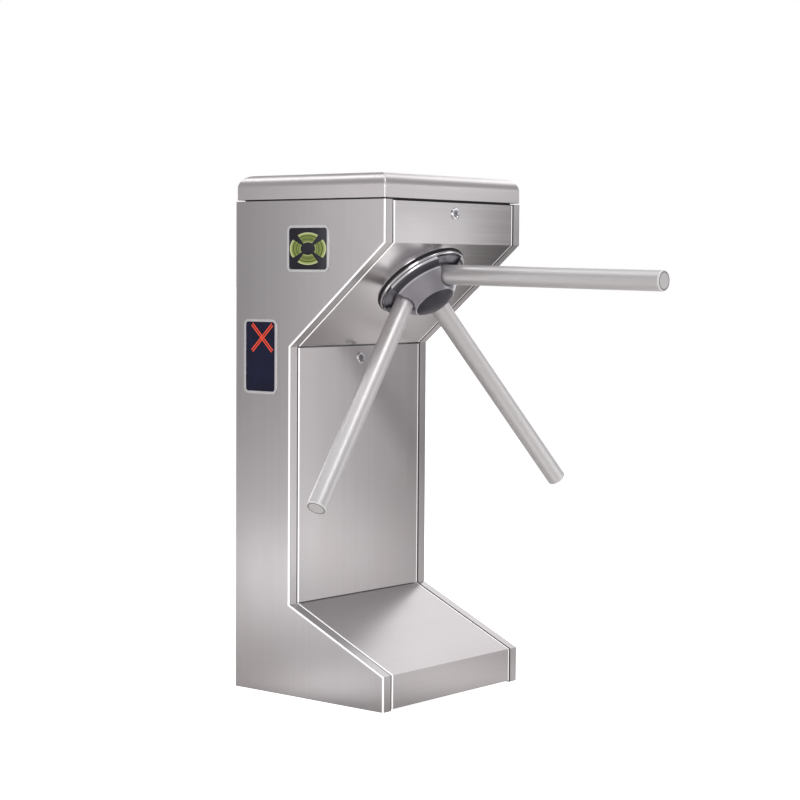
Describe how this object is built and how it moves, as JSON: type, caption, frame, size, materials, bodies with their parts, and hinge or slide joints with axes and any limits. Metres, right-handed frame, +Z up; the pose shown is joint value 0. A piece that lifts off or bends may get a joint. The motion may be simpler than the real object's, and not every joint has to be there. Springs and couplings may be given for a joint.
{
  "type": "visitor counter turnstile",
  "caption": "Upright tripod turnstile that counts visitors: folded steel cabinet with an overhanging head, sloped rotor, hinged lid, tilt-out column panel, reader and status windows.",
  "frame": {"origin": "on the floor, in the middle of the rectangle of anchor holes in the base plate", "axes": "+Z up, -Y towards the lane in front of the fascia, +X to the right of a person who faces the fascia"},
  "size_m": [0.7652, 0.8566, 1],
  "materials": {
    "stainless": "brushed satin",
    "zinc_plate": "zinc plated",
    "chrome_trim": "polished",
    "tube_steel": "satin polished",
    "dark_metal": "semi gloss",
    "cap_metal": "semi gloss",
    "machined_steel": "turned",
    "cast_housing": "painted casting",
    "black_rubber": "matt",
    "black_plastic": "matt",
    "grey_plastic": "matt",
    "cap_plastic": "matt",
    "dark_window": "gloss",
    "green_light": "lit marking",
    "red_light": "lit marking",
    "board_green": "circuit board",
    "brass": "turned",
    "coil_blue": "wrapped coil"
  },
  "bodies": {
    "cabinet": {"side_panel_left": "stainless", "side_panel_right": "stainless", "back_panel": "stainless", "base_plate": "zinc_plate", "base_cover": "stainless", "head_cover": "stainless", "cross_rail": "zinc_plate", "top_frame": "zinc_plate", "lid_gasket": "black_rubber", "cable_gland": "black_plastic", "lid_hinge_lower": "stainless", "lid_hinge_pins": "machined_steel", "lid_lock_body": "chrome_trim", "reader_windows": "dark_window", "reader_bezels": "stainless", "reader_segments": "green_light", "reader_modules": "grey_plastic", "display_windows": "dark_window", "display_bezels": "stainless", "display_crosses": "red_light", "display_boards": "board_green", "hub_gasket": "black_rubber", "hub_trim_ring": "chrome_trim", "mechanism_plate": "zinc_plate", "bearing_housing": "cast_housing", "bearing_outer_rings": "machined_steel", "drive_motor": "black_plastic", "mechanism_bracket": "zinc_plate", "pawl_pins": "machined_steel", "solenoid_bodies": "coil_blue", "optical_sensor": "black_plastic", "control_board": "board_green", "power_supply": "zinc_plate"},
    "rotor": {"hub_core": "machined_steel", "hub_cowl": "dark_metal", "hub_cap": "cap_metal", "arm_1": "tube_steel", "arm_2": "tube_steel", "arm_3": "tube_steel", "arm_end_caps": "cap_plastic", "arm_bolts": "machined_steel", "bearing_inner_rings": "machined_steel", "main_shaft": "machined_steel", "shaft_nuts": "brass", "drive_gear": "machined_steel", "lock_disc": "machined_steel", "encoder_disc": "black_plastic"},
    "motor_rotor": {"motor_pinion": "brass"},
    "lid": {"lid": "stainless", "lid_hinge_upper": "stainless"},
    "lid_lock": {"lid_lock_barrel": "chrome_trim", "lid_lock_cam": "zinc_plate"},
    "column_panel": {"column_panel": "stainless", "panel_lock_body": "chrome_trim"},
    "panel_lock": {"panel_lock_barrel": "chrome_trim", "panel_lock_cam": "zinc_plate"},
    "plunger_left": {"plunger_left": "machined_steel"},
    "pawl_left": {"pawl_left": "brass"},
    "plunger_right": {"plunger_right": "machined_steel"},
    "pawl_right": {"pawl_right": "brass"}
  },
  "joints": [
    {"name": "rotor_spin", "type": "hinge", "parent": "cabinet", "child": "rotor", "pos_m": [0, -0.10621, 0.80053], "axis": [0, -0.6428, -0.766], "continuous": true},
    {"name": "motor_spin", "type": "hinge", "parent": "cabinet", "child": "motor_rotor", "pos_m": [0, -0.05105, 0.75425], "axis": [0, -0.6428, -0.766], "continuous": true},
    {"name": "plunger_left_slide", "type": "slide", "parent": "cabinet", "child": "plunger_left", "axis": [0, -0.766, 0.6428], "range_m": [0, 0.0058], "stiffness_N_per_m": 100, "springref_m": -0.004},
    {"name": "pawl_left_swing", "type": "hinge", "parent": "cabinet", "child": "pawl_left", "pos_m": [-0.0566, 0.00533, 0.88056], "axis": [0, -0.6428, -0.766], "range_deg": [-12, 0]},
    {"name": "plunger_right_slide", "type": "slide", "parent": "cabinet", "child": "plunger_right", "axis": [0, -0.766, 0.6428], "range_m": [0, 0.0058], "stiffness_N_per_m": 100, "springref_m": -0.004},
    {"name": "pawl_right_swing", "type": "hinge", "parent": "cabinet", "child": "pawl_right", "pos_m": [0.0566, 0.00533, 0.88056], "axis": [0, -0.6428, -0.766], "range_deg": [0, 12]},
    {"name": "lid_open", "type": "hinge", "parent": "cabinet", "child": "lid", "pos_m": [0, 0.193, 0.9515], "axis": [-1, 0, 0], "range_deg": [0, 100]},
    {"name": "lid_lock_turn", "type": "hinge", "parent": "cabinet", "child": "lid_lock", "pos_m": [0, -0.189, 0.9275], "axis": [0, -1, 0], "range_deg": [-90, 0]},
    {"name": "column_panel_tilt", "type": "hinge", "parent": "cabinet", "child": "column_panel", "pos_m": [0, 0.049, 0.1795], "axis": [1, 0, 0], "range_deg": [0, 10]},
    {"name": "panel_lock_turn", "type": "hinge", "parent": "column_panel", "child": "panel_lock", "pos_m": [0, 0.047, 0.6455], "axis": [0, 1, 0], "range_deg": [-90, 0]}
  ],
  "couplings": [
    {"joint": "motor_spin", "follows": "rotor_spin", "ratio": -3},
    {"joint": "pawl_left_swing", "follows": "plunger_left_slide", "rad_per_m": -35.714},
    {"joint": "pawl_right_swing", "follows": "plunger_right_slide", "rad_per_m": 35.714}
  ]
}
